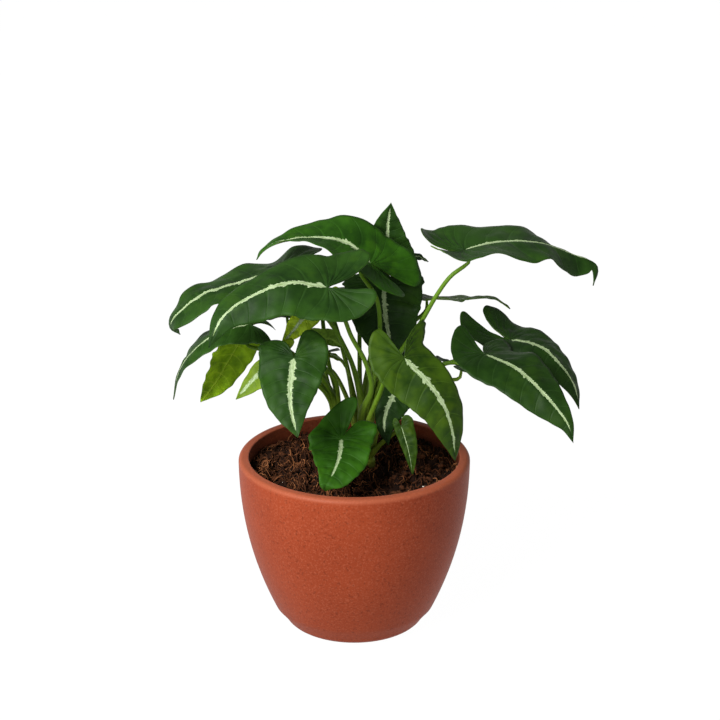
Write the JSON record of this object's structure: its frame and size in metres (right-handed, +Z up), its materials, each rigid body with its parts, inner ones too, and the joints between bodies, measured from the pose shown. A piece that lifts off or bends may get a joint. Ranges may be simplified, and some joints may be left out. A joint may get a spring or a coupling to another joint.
{
  "type": "potted arrow-leaf houseplant",
  "caption": "Low houseplant with velvety arrow-shaped leaves, each with a pale feathered midrib, on arching green petioles, in a round tapered clay-coloured pot filled with coarse coir soil.",
  "frame": {"origin": "centre of the pot's flat base", "axes": "+Z up; +X to the right and +Y away from the viewer on the side that shows the plant best; the leaves reach further to -X and +X than to -Y"},
  "size_m": [0.2989, 0.2069, 0.3011],
  "materials": {
    "pot": "matte fine-speckled terracotta orange",
    "soil": "rough dark brown coir",
    "stem": "smooth light green",
    "leaf": "velvety dark green with a pale midrib"
  },
  "bodies": {
    "root": {"pot": "pot", "soil": "soil", "stem_left": "stem", "stem_right": "stem", "stem_front": "stem", "stem_back": "stem", "leaf_01": "leaf", "leaf_02": "leaf", "leaf_03": "leaf", "leaf_04": "leaf", "leaf_05": "leaf", "leaf_06": "leaf", "leaf_07": "leaf", "leaf_08": "leaf", "leaf_09": "leaf", "leaf_10": "leaf", "leaf_11": "leaf", "leaf_12": "leaf", "leaf_13": "leaf", "leaf_14": "leaf", "leaf_15": "leaf", "leaf_16": "leaf", "leaf_17": "leaf", "leaf_18": "leaf", "leaf_19": "leaf", "leaf_20": "leaf", "leaf_21": "leaf", "leaf_22": "leaf", "leaf_23": "leaf", "leaf_24": "leaf", "leaf_25": "leaf", "leaf_26": "leaf", "leaf_27": "leaf"}
  },
  "joints": []
}
